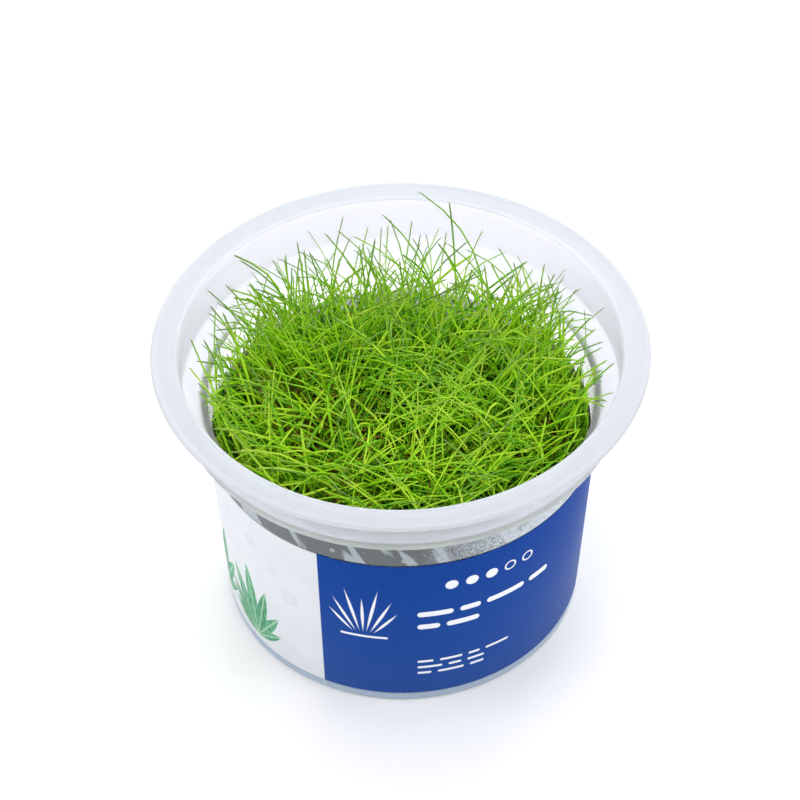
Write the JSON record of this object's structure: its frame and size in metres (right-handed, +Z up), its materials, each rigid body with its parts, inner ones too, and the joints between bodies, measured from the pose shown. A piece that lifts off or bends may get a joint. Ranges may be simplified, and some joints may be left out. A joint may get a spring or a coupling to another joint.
{
  "type": "potted mini needle spikerush",
  "caption": "Translucent plastic cup with a wide flange, a blue and white label sleeve and a bed of gel, filled with a tangled tussock of fine, curving needle leaves.",
  "frame": {"origin": "centre of the cup's foot, on the surface that the cup stands on", "axes": "+Z up along the cup's axis; +Y away from the viewer of the picture, so the front of the label faces -Y; +X to the viewer's right"},
  "size_m": [0.095, 0.095, 0.0706],
  "materials": {
    "cup_plastic": "satin",
    "label_film": "satin",
    "gel": "gloss",
    "needle_leaf": "satin"
  },
  "bodies": {
    "root": {"cup": "cup_plastic", "label_sleeve": "label_film", "nutrient_gel": "gel", "tuft_01": "needle_leaf", "tuft_02": "needle_leaf", "tuft_03": "needle_leaf", "tuft_04": "needle_leaf", "tuft_05": "needle_leaf", "tuft_06": "needle_leaf", "tuft_07": "needle_leaf", "tuft_08": "needle_leaf", "tuft_09": "needle_leaf", "tuft_10": "needle_leaf", "tuft_11": "needle_leaf", "tuft_12": "needle_leaf", "tuft_13": "needle_leaf", "tuft_14": "needle_leaf", "tuft_15": "needle_leaf", "tuft_16": "needle_leaf", "tuft_17": "needle_leaf", "tuft_18": "needle_leaf", "tuft_19": "needle_leaf", "tuft_20": "needle_leaf", "tuft_21": "needle_leaf", "tuft_22": "needle_leaf", "tuft_23": "needle_leaf", "tuft_24": "needle_leaf", "tuft_25": "needle_leaf", "tuft_26": "needle_leaf", "tuft_27": "needle_leaf", "tuft_28": "needle_leaf", "tuft_29": "needle_leaf", "tuft_30": "needle_leaf", "tuft_31": "needle_leaf", "tuft_32": "needle_leaf", "tuft_33": "needle_leaf", "tuft_34": "needle_leaf", "tuft_35": "needle_leaf", "tuft_36": "needle_leaf"}
  },
  "joints": []
}
